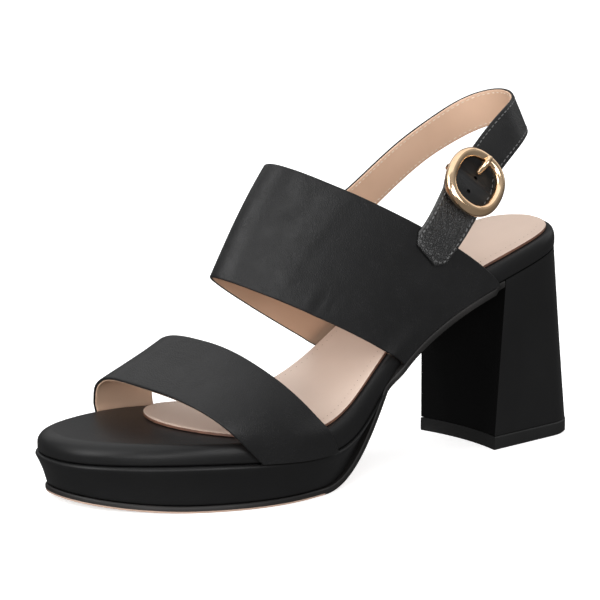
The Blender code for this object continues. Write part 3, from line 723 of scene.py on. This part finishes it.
def eased(grid, rowRounds, columnRounds):
    # the leather bends softly over the foot: corners are eased, the feet stay where they are
    place = np.arange(len(grid))
    free = softStep(2, 16, np.minimum(place, len(grid) - 1 - place))[:, None, None]

    def blurred(shape):
        for axis in [0] * rowRounds + [1] * columnRounds:
            mean = (np.roll(shape, 1, axis) + 2 * shape + np.roll(shape, -1, axis)) / 4
            if axis:
                mean[:, [0, -1]] = shape[:, [0, -1]]
            shape = shape + free * (mean - shape)
        return shape

    once = blurred(grid)
    return 2 * once - blurred(once)  # keeps the broad form from shrinking


def strapSurface(edges, rise, columns, folds):
    turns = np.sin(np.linspace(0, math.pi / 2, 500)) ** 1.5 * math.pi / 2
    shares = np.linspace(0, 1, columns + 1)
    rows = strap.rowsPerHalf
    lines = []
    for share in shares:
        halves = []
        for sign in (1, -1):
            fine = archHalf(archBetween(edges, share), rise, sign, turns)
            travel = travelOf(fine)
            halves.append(alongLine(fine, travel, np.linspace(0, travel[-1], rows + 1)))
        lines.append(join([halves[0], halves[1][::-1][1:]]))
    grid = eased(np.stack(lines, axis=1), 26, 10)
    normals = normalsOf(grid)
    climb = np.linspace(0, 2, 2 * rows + 1)  # 0 outer foot, 1 ridge, 2 inner foot
    for side, atClimb, atWidth, reach, across, depth in folds:
        middle = atClimb if side > 0 else 2 - atClimb
        there = np.exp(-(((climb - middle) / reach) ** 2))
        width = np.exp(-(((shares - atWidth) / across) ** 2))
        grid = grid + normals * (there[:, None] * width[None] * depth)[..., None]
    return grid, normalsOf(grid)


def normalsOf(grid):
    along = np.gradient(grid, axis=0)
    across = np.gradient(grid, axis=1)
    normals = unit(np.cross(along, across))
    feet = (grid[0] + grid[-1]) / 2
    crown = grid[len(grid) // 2]
    inside = (feet + 0.3 * (crown - feet))[None]
    facing = np.sign((normals * (grid - inside)).sum(2))
    return normals * facing[..., None]


# the layers of a strap: top, bottom, inset, columns and steps of the rounded edge
leatherWall = (0.0, -0.00112, 0.0, 44, 5)
liningWall = (-0.00108, -0.0018, 0.00035, 36, 4)


def makeStrap(name, kind, columns):
    band = strapSurface(strap[kind], strap[kind + "Rise"], columns, strap[kind + "Folds"])
    outer = wallLayer(name + "Leather", band, leatherWall, "strapLeather")
    return [outer, wallLayer(name + "Lining", band, liningWall, "liningLeather")]


instepLayers = makeStrap("instep", "instep", 48)
toeLayers = makeStrap("toeStrap", "toe", 40)
print("straps made")


# Sling strap, buckle tab and their route round the heel

sling = Sizes(
    rise=0.0473, width=0.0156, wall=0.0016, tail=0.0112, tipRound=0.007, tabWidth=0.019,
    tabSpread=0.0012,  # wider where it folds round the bar
    tabTip=0.0046, tabTipHalf=0.0056, tabDrop=0.0014, overlap=0.0003, ridgeHeight=0.0014,
    ridgeSpread=0.0022,
    ringBulge=0.0023,  # the sling spreads where it bends over the bar
    crown=0.00022, stitchInset=0.0015, stitchStart=0.013, bulgeOver=(-0.011, -0.004),
    seam=0.0001, endRound=0.0008, tabEndRound=0.0007,
    tabCorner=0.0009,  # the trimmed corners are a little round
    tabFold=0.0032, tabSpreadOver=(0.003, 0.009), tabStitchStart=0.008,
    # run in lengths, side in ball widths, rise in sling rises above the heel seat, lean in degrees
    route=[
        (0.364, -0.29, 0.091, -3.0), (0.185, -0.319, 0.617, 8.0), (0.1231, -0.281, 0.795, 13.0),
        (0.0776, -0.173, 0.947, 17.0), (0.0611, -0.028, 1.000, 20.0), (0.0776, 0.117, 0.968, 23.0),
        (0.1231, 0.225, 0.892, 27.0), (0.185, 0.263, 0.682, 29.0), (0.2539, 0.324, 0.427, 30.5),
    ],
    # turn round the arch and width of the strap at each seat
    medialSeat=(0.2778, 0.85), tabEdgeSeat=(0.27, 0.97), tabTipSeat=(0.25, 0.78),
)


def uprightFor(along):
    upright = unit(np.array([0, 0, 1.0]) - along * along[..., 2:])
    return upright, np.cross(along, upright)


def leanFor(normal, along):
    upright, sideways = uprightFor(along)
    return math.degrees(math.atan2(normal @ upright, -(normal @ sideways)))


def slingRoute():
    inside = strap.wall + sling.wall / 2 - sling.overlap
    outside = sling.tabDrop + sling.wall / 2 - sling.overlap
    seat, seatNormal = strapPoint(-1, *sling.medialSeat)
    edge, edgeNormal = strapPoint(1, *sling.tabEdgeSeat)
    tip, tipNormal = strapPoint(1, *sling.tabTipSeat)
    heelTop = last.platformHeight + last.heelRise
    knots = [seat - inside * seatNormal]
    for run, side, up, lean in sling.route:
        knots.append((run * last.length, side * last.ballWidth, heelTop + up * sling.rise))
    knots = np.array([*knots, edge + outside * edgeNormal, tip + outside * tipNormal])
    travel = travelOf(knots)
    final = unit(knots[-1] - knots[-2])
    leans = [leanFor(seatNormal, unit(knots[1] - knots[0])), *(row[3] for row in sling.route)]
    leans += [leanFor(edgeNormal, final), leanFor(tipNormal, final)]
    return smoothCurve(travel, knots), smoothCurve(travel, leans), travel


routePoint, routeLean, stations = slingRoute()
buckleAt = stations[len(sling.route)]
tabEnd = stations[-1]


def bandFrame(at):
    step = last.length / 1000
    along = unit(routePoint(at + step) - routePoint(at - step))
    upright, sideways = uprightFor(along)
    lean = np.radians(routeLean(at))[:, None]
    width = upright * np.cos(lean) + sideways * np.sin(lean)
    return routePoint(at), along, width, np.cross(width, along)


def bandSurface(stops, half, lift):
    # a band along the route, crowned a little across its width
    centre, along, across, normal = bandFrame(stops)
    shares = np.linspace(-1, 1, 15)
    crown = sling.crown * (1 - shares**2)
    across, normal = across[:, None], normal[:, None]
    grid = centre[:, None] + normal * lift[:, None, None] + across * (half[:, None] * shares)[..., None]
    grid = grid + normal * crown[None, :, None]
    slope = 2 * sling.crown * shares[None] / half[:, None]
    return grid, unit(normal + across * slope[..., None])


def roundTip(band, stops, lift, start, end):
    # out just inside one edge, across the tip and back along the other, and the way it faces
    surface, normals = band
    first = int(np.searchsorted(stops, start))
    final = int(np.searchsorted(stops, end - sling.stitchInset)) - 1
    points, facing = [], []
    for way in (1, -1):
        for i in list(range(first, final + 1))[::way]:
            travel = travelOf(surface[i])
            away = min(sling.stitchInset, 0.46 * travel[-1])
            at = np.array([away if way > 0 else travel[-1] - away])
            up = unit(alongLine(normals[i], travel, at))[0]
            points.append(alongLine(surface[i], travel, at)[0] + lift * up)
            facing.append(up * (1 if lift > 0 else -1))
    return np.array(points), np.array(facing)


def pastEnd(stops, end, reach):
    # 0 up to the last reach of a band, 1 at its end
    return np.clip((stops - end + reach) / reach, 0.0, 1.0)


def endScale(stops, end, reach):
    return np.sqrt(np.maximum(1 - pastEnd(stops, end, reach) ** 2, 0.03))


def makeSling():
    end = buckleAt + sling.tail
    tip = sling.tipRound
    turned = end - tip * (1 - np.sin(np.linspace(0.0, math.pi / 2, 26)))
    stops = join([np.linspace(0.0, end - tip, 230)[:-1], turned])
    half = sling.width / 2 + sling.ringBulge * softStep(*sling.bulgeOver, stops - buckleAt)
    half = half * np.sqrt(np.maximum(1 - pastEnd(stops, end, tip) ** 3, 0.02))
    lift = sling.ridgeHeight * np.exp(-(((stops - buckleAt) / sling.ridgeSpread) ** 2))
    band = bandSurface(stops, half, lift)
    scale = endScale(stops, end, sling.endRound)
    thick, seam = sling.wall / 2, -sling.seam
    outer = wallLayer("slingLeather", band, (thick, seam, 0.0, 16, 4), "strapLeather", scale)
    lining = (seam, -thick, 0.0002, 14, 3)
    inner = wallLayer("slingLining", band, lining, "liningLeather", scale)
    lines = [roundTip(band, stops, at, sling.stitchStart, end) for at in (thick, -thick)]
    return outer, inner, *lines


def makeTab():
    tip = sling.tabTip
    start = buckleAt - sling.tabFold
    stops = join([np.linspace(start, tabEnd - tip, 46)[:-1], np.linspace(tabEnd - tip, tabEnd, 18)])
    full = sling.tabWidth / 2
    cut = (full - sling.tabTipHalf) * pastEnd(stops, tabEnd, tip)
    corner = sling.tabCorner
    half = full - 0.5 * (cut + np.sqrt(cut**2 + corner**2) - corner)
    half = half + sling.tabSpread * (1 - softStep(*sling.tabSpreadOver, stops - buckleAt))
    band = bandSurface(stops, half, 0 * stops - sling.tabDrop)
    scale = endScale(stops, tabEnd, sling.tabEndRound)
    thick = sling.wall / 2
    tab = wallLayer("buckleTab", band, (thick, -thick, 0.0, 18, 5), "tabLeather", scale)
    start = buckleAt + sling.tabStitchStart
    return tab, roundTip(band, stops, thick, start, tabEnd)


slingLeather, slingLining, slingAbove, slingBelow = makeSling()
buckleTab, tabLine = makeTab()
print("sling and tab made")


# Buckle

buckle = Sizes(
    halfLength=0.012, halfWidth=0.0111, rodRadius=0.00222, squareness=2.35, swell=0.08,
    lift=0.0031, barRadius=0.0011, barDrop=0.002, sleeveWall=0.001, pinRadius=0.00125,
    pinBack=-0.0128, pinTip=-0.0056, holeRadius=0.00085,
    punchDepth=0.008, holes=(-0.0163, -0.0093, -0.0026, 0.0042),
)


def placed(points):
    # from the buckle's own frame to the shoe's
    centre, *axes = (part[0] for part in bandFrame(np.array([buckleAt])))
    return np.asarray(points) @ np.array(axes) + centre


def tubePiece(name, path, radii, sides, coat, closed=False):
    # a round rod along a path in the buckle's own frame
    path = np.asarray(path, float)
    count = len(path)
    ahead = np.gradient(path, axis=0)
    if closed:
        ahead = np.roll(path, -1, axis=0) - np.roll(path, 1, axis=0)
    ahead = unit(ahead)
    reference = np.array([0.0, 0.0, 1.0])
    if abs(ahead @ reference).max() > 0.95:
        reference = np.array([1.0, 0.0, 0.0])
    sideways = unit(np.cross(ahead, reference))
    upwards = np.cross(sideways, ahead)
    turns = np.linspace(0, 2 * math.pi, sides, endpoint=False)[None, :, None]
    around = np.cos(turns) * sideways[:, None] + np.sin(turns) * upwards[:, None]
    points = (path[:, None] + np.reshape(radii, (-1, 1, 1)) * around).reshape(-1, 3)
    faces = ringFaces(count, sides, closed)
    if not closed:
        faces += [tuple(range(sides)), tuple(range((count - 1) * sides, count * sides))]
    return meshPiece(name, placed(points), faces, coat, sharpAngle=60)


def domedRadii(length, radius, count):
    # a rod's stations and radii, with a domed end on both sides
    at = np.linspace(0, length, count)
    dome = 0.8 * radius
    near = np.clip(np.minimum(at, length - at) / dome, 0.0, 1.0)
    return at, radius * np.sqrt(np.maximum(1 - (1 - near) ** 2, 0.02))


def makeRing():
    count = 144
    turns = np.linspace(0, 2 * math.pi, count, endpoint=False)
    circle = np.stack([np.cos(turns), np.sin(turns)], 1)
    flat = np.sign(circle) * np.abs(circle) ** (2 / buckle.squareness)
    flat *= (buckle.halfLength, buckle.halfWidth)
    path = np.column_stack([flat, np.full(count, buckle.lift)])
    around = join([path, path[:1]])
    travel = travelOf(around)
    path = alongLine(around, travel, np.linspace(0, travel[-1], count, endpoint=False))
    for _ in range(6):
        path = (np.roll(path, 1, axis=0) + 2 * path + np.roll(path, -1, axis=0)) / 4
    radii = buckle.rodRadius * (1 + buckle.swell * path[:, 0] / buckle.halfLength)
    return tubePiece("buckleRing", path, radii, 28, "goldMetal", True)


def makeBar():
    radius = buckle.barRadius
    clear = sling.tabWidth / 2 + 2 * last.gap + radius
    low = -buckle.barDrop
    half = [
        (0.0, low),
        (clear - 0.9 * radius, low),
        (clear + 0.1 * radius, low + 0.4 * radius),
        (clear + 0.4 * radius, low + 1.4 * radius),
        (buckle.halfWidth, buckle.lift),
    ]
    line = [(0.0, -y, z) for y, z in half[:0:-1]] + [(0.0, y, z) for y, z in half]
    return tubePiece("buckleBar", line, [radius] * len(line), 16, "goldMetal")


def makeLoop():
    # the tab's end folded round the bar
    length = sling.tabWidth - 4 * last.gap
    radius = buckle.barRadius + last.gap + buckle.sleeveWall
    at, radii = domedRadii(length, radius, 24)
    path = [(0.0, y - length / 2, -buckle.barDrop) for y in at]
    return tubePiece("barLoop", path, np.maximum(radii, 0.8 * radius), 24, "tabLeather")


def makePin():
    # the pin comes up through the sling's hole and rests over the ring's heel side
    rise = buckle.lift + buckle.rodRadius * 0.55
    back, tip = buckle.pinBack, buckle.pinTip
    points = np.array([
        (back, 0, rise + 0.0004), (back + 0.0022, 0, rise + 0.0008), (back + 0.0042, 0, rise + 0.0001),
        (tip - 0.0012, 0, rise - 0.0018), (tip, 0, rise - 0.0032), (tip + 0.0004, 0, 0.0004),
    ])
    travel = travelOf(points)
    at, radii = domedRadii(travel[-1], buckle.pinRadius, 36)
    return tubePiece("bucklePin", smoothCurve(travel, points)(at), radii, 20, "goldMetal")


buckleRing = makeRing()
buckleBar = makeBar()
barLoop = makeLoop()
bucklePin = makePin()
print("buckle made")


def punch(piece):
    # the sling's row of holes
    for along in buckle.holes:
        centre, _, _, outwards = bandFrame(np.array([buckleAt + along]))
        shape = bmesh.new()
        radius = buckle.holeRadius
        bmesh.ops.create_cone(
            shape, cap_ends=True, segments=20, radius1=radius, radius2=radius, depth=buckle.punchDepth
        )
        mesh = bpy.data.meshes.new("punch")
        # the cut walls of the holes take the near-black leather: painted shade inside the holes
        mesh.materials.append(finishes["breastLeather"])
        shape.to_mesh(mesh)
        shape.free()
        pin = addObject("punch", mesh)
        turned = Vector(outwards[0]).to_track_quat("Z", "Y").to_matrix().to_4x4()
        pin.matrix_world = Matrix.Translation(Vector(centre[0])) @ turned
        cut = piece.modifiers.new("hole", "BOOLEAN")
        cut.operation = "DIFFERENCE"
        cut.object = pin
        cut.material_mode = "TRANSFER"
        settled(piece, 50)
        bpy.data.objects.remove(pin, do_unlink=True)


punch(slingLeather)
punch(slingLining)


# Stitches and pinholes, set along lines by one node tree

stitchLabels = ("Pitch", "Length", "Radius", "Sink", "Sway", "Seed")


def stitchTree():
    tree = bpy.data.node_groups.new("rowOfStitches", "GeometryNodeTree")
    kinds = ("Geometry", *["Float"] * 5, "Int", "Material")
    for label, kind in zip(("Geometry", *stitchLabels, "Thread"), kinds):
        tree.interface.new_socket(label, in_out="INPUT", socket_type="NodeSocket" + kind)
    tree.interface.new_socket("Geometry", in_out="OUTPUT", socket_type="NodeSocketGeometry")
    graph = Graph(tree)

    def made(kind, settings=None, **inputs):
        return graph.node(kind, settings, **inputs).outputs[0]

    given = graph.node("NodeGroupInput").outputs
    line = made("GeometryNodeMeshToCurve", Mesh=given["Geometry"])
    line = made("GeometryNodeResampleCurve", {"mode": "LENGTH"}, Curve=line, Length=given["Pitch"])
    facing = made("GeometryNodeInputNamedAttribute", {"data_type": "FLOAT_VECTOR"}, Name="facing")
    sunk = graph.math("MULTIPLY", given["Sink"], -1.0)
    offset = made("ShaderNodeVectorMath", {"operation": "SCALE"}, _0=facing, Scale=sunk)
    seated = made("GeometryNodeSetPosition", Geometry=line, Offset=offset)
    tangent = made("GeometryNodeInputTangent")
    turned = made("FunctionNodeAlignRotationToVector", {"axis": "X"}, Vector=tangent)
    upright = {"axis": "Z", "pivot_axis": "X"}
    turned = made("FunctionNodeAlignRotationToVector", upright, Vector=facing, Rotation=turned)
    low = graph.math("MULTIPLY", given["Sway"], -1.0)
    chance = graph.node(
        "FunctionNodeRandomValue", {"data_type": "FLOAT"}, _2=low, _3=given["Sway"], Seed=given["Seed"]
    )
    turning = made("FunctionNodeEulerToRotation", Euler=made("ShaderNodeCombineXYZ", Z=chance.outputs[1]))
    local = {"rotation_space": "LOCAL"}
    turned = made("FunctionNodeRotateRotation", local, Rotation=turned, Rotate_By=turning)
    bead = made("GeometryNodeMeshUVSphere", Segments=8, Rings=6, Radius=1.0)
    half = graph.math("MULTIPLY", given["Length"], 0.5)
    thread = given["Radius"]
    size = made("ShaderNodeCombineXYZ", X=half, Y=thread, Z=thread)
    stitch = made("GeometryNodeTransform", Geometry=bead, Scale=size)
    stitch = made("GeometryNodeSetShadeSmooth", Geometry=stitch)
    rows = made("GeometryNodeInstanceOnPoints", Points=seated, Instance=stitch, Rotation=turned)
    rows = made("GeometryNodeRealizeInstances", Geometry=rows)
    rows = made("GeometryNodeSetMaterial", Geometry=rows, Material=given["Thread"])
    graph.node("NodeGroupOutput", Geometry=rows)
    return tree


stitching = stitchTree()


def stitchRows(name, lines, sizes, thread):
    # each line is its points and the way they face; the row becomes one plain mesh
    points, facing = (join(part) for part in zip(*lines))
    ends = np.cumsum([len(line) for line, _ in lines]) - 1
    edges = [(i, i + 1) for i in range(len(points) - 1) if i not in ends]
    mesh = bpy.data.meshes.new(name)
    mesh.from_pydata(points, edges, [])
    stored = mesh.attributes.new("facing", "FLOAT_VECTOR", "POINT")
    stored.data.foreach_set("vector", facing.astype(np.float32).ravel())
    piece = addObject(name, mesh)
    modifier = piece.modifiers.new("stitches", "NODES")
    modifier.node_group = stitching
    given = [item for item in stitching.interface.items_tree if item.in_out == "INPUT"]
    sockets = {item.name: item.identifier for item in given}
    for label, value in zip((*stitchLabels, "Thread"), (*sizes, finishes[thread])):
        modifier[sockets[label]] = value
    return settled(piece, None)


def insoleLines():
    lines = []
    for half in insoleHalves(sock.margin + sock.pinholeInset):
        height = belowBed(half[:, 0], -last.gap - sock.thickness) + 0.0001
        slope = np.gradient(height, half[:, 0] + 1e-9 * np.arange(len(half)))
        slope = np.where(np.isfinite(slope), np.clip(slope, -2, 2), 0.0)
        line = join([half, height[:, None]], axis=1)
        lines.append((line, unit(np.stack([-slope, 0 * slope, 1 + 0 * slope], 1))))
    return lines


slingRow = (0.0024, 0.0019, 0.00026, 0.00008, 0.1, 3)  # in the order of the labels
slingStitches = stitchRows("slingStitches", [slingAbove], slingRow, "blackThread")
liningRow = (0.0024, 0.0017, 0.00024, 0.00006, 0.1, 7)
liningStitches = stitchRows("slingLiningStitches", [slingBelow], liningRow, "nudeThread")
tabRow = (0.0022, 0.0017, 0.00032, 0.00004, 0.12, 11)
tabStitches = stitchRows("tabStitches", [tabLine], tabRow, "blackThread")
# the pinholes are dark beads on the sock: painted shade, not cut holes
pinholeRow = (0.0028, 0.00066, 0.0003, 0.0002, 0.2, 5)
insolePinholes = stitchRows("insolePinholes", insoleLines(), pinholeRow, "pinholeShade")
print("stitches made")


# Which solids each piece stands for

worn = {
    "outsole": [outsole],
    "platform": [platform],
    "footbed": [footbed],
    "insole": [insole, insolePinholes],
    "heel": [heel],
    "top_lift": [topLift],
    "toe_strap": toeLayers,
    "upper": [
        *instepLayers, slingLeather, slingLining, buckleTab, barLoop,
        slingStitches, liningStitches, tabStitches,
    ],
    "buckle_frame": [buckleRing, buckleBar],
    "prong": [bucklePin],
}
for node, pieces in worn.items():
    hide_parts(node)
    for piece in pieces:
        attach(piece, "root")
print("pieces on the part:", sum(len(pieces) for pieces in worn.values()))


# Floor, light and camera

studio = Sizes(
    floorSize=40.0,
    floorGlow=(0.62, 1.0, 0.25, 1.6),  # near and far strength, and the distances between
    frontGlow=(0.12, 0.26, -0.6, 0.3),  # strength behind and in front, and the shares between
    topGlow=(0.0, 0.36, 0.2, 0.95),  # strength at the sides and above, and the heights between
    target=(0.123446, 0.0, 0.068124),
    azimuth=37.0,  # from the outer side towards the toe
    elevation=9.525, distance=0.85, lens=129.62,
    # name, left, toward the camera, up, size, power
    panels=[
        ("top", 0.0, -0.1, 1.3, 1.8, 8.5),
        ("left", 0.95, 0.1, 0.9, 0.8, 1.6),
        ("leftFront", 0.85, 0.65, 0.7, 0.7, 6.0),
        ("rightFront", -0.5, 1.1, 0.4, 0.65, 7.0),
        ("leftLow", 1.05, 0.75, 0.38, 0.6, 4.0),
        ("frontLow", 0.25, 1.25, 0.14, 0.55, 5.2),
        ("back", 0.55, -0.95, 0.75, 0.9, 1.4),
        ("backRight", -0.95, -0.6, 0.6, 0.8, 1.6),
    ],
)


def aimed(name, data, offset):
    # set off from the target and turned towards it
    made = addObject(name, data)
    made.location = Vector(studio.target) + offset
    made.rotation_euler = offset.to_track_quat("Z", "Y").to_euler()
    return made


def makeStudio():
    scene = bpy.context.scene
    scene.view_settings.view_transform = "Standard"
    azimuth, elevation = math.radians(studio.azimuth), math.radians(studio.elevation)
    toward = Vector((math.sin(azimuth), math.cos(azimuth), 0.0))
    left = Vector((math.cos(azimuth), -math.sin(azimuth), 0.0))
    upward = Vector((0, 0, 1))
    lens = bpy.data.cameras.new("photoCamera")
    lens.lens = studio.lens
    back = toward * math.cos(elevation) + upward * math.sin(elevation)
    scene.camera = aimed("photoCamera", lens, back * studio.distance)
    for name, toLeft, near, up, size, power in studio.panels:
        name += "Panel"
        panel = bpy.data.lights.new(name, "AREA")
        panel.size = size
        panel.energy = power
        aimed(name, panel, left * toLeft + toward * near + upward * up)
    air = bpy.data.worlds.new("studioAir")
    air.use_nodes = True
    glow = air.node_tree.nodes["Background"]
    glow.inputs["Color"].default_value = (1, 1, 1, 1)
    graph = Graph(air.node_tree)
    way = graph.node("ShaderNodeTexCoord").outputs["Generated"]
    height = graph.node("ShaderNodeSeparateXYZ", Vector=way).outputs["Z"]
    forward = graph.node("ShaderNodeVectorMath", {"operation": "DOT_PRODUCT"}, _0=way, _1=toward)
    strengths = []
    for value, name in ((height, "topGlow"), (forward.outputs["Value"], "frontGlow")):
        low, high, start, end = studio[name]
        strengths.append(graph.ranged(value, start, end, low, high))
    graph.feed(glow, "Strength", graph.math("ADD", *strengths))
    scene.world = air
    half = studio.floorSize / 2
    corners = [(x * half, y * half, 0.0) for x, y in ((-1, -1), (1, -1), (1, 1), (-1, 1))]
    floor = meshPiece("studioFloor", corners, [(0, 1, 2, 3)], "floor")
    floor.visible_diffuse = False  # no light comes back up from the floor
    floor.visible_glossy = False
    tree = finishes["floor"].node_tree
    shader = tree.nodes["Principled BSDF"]
    shader.inputs["Emission Color"].default_value = (1, 1, 1, 1)
    graph = Graph(tree)
    place = graph.node("ShaderNodeTexCoord").outputs["Object"]
    away = graph.node("ShaderNodeVectorMath", {"operation": "LENGTH"}, _0=place).outputs["Value"]
    near, far, start, end = studio.floorGlow
    graph.feed(shader, "Emission Strength", graph.ranged(away, start, end, near, far))


makeStudio()
print("studio ready")
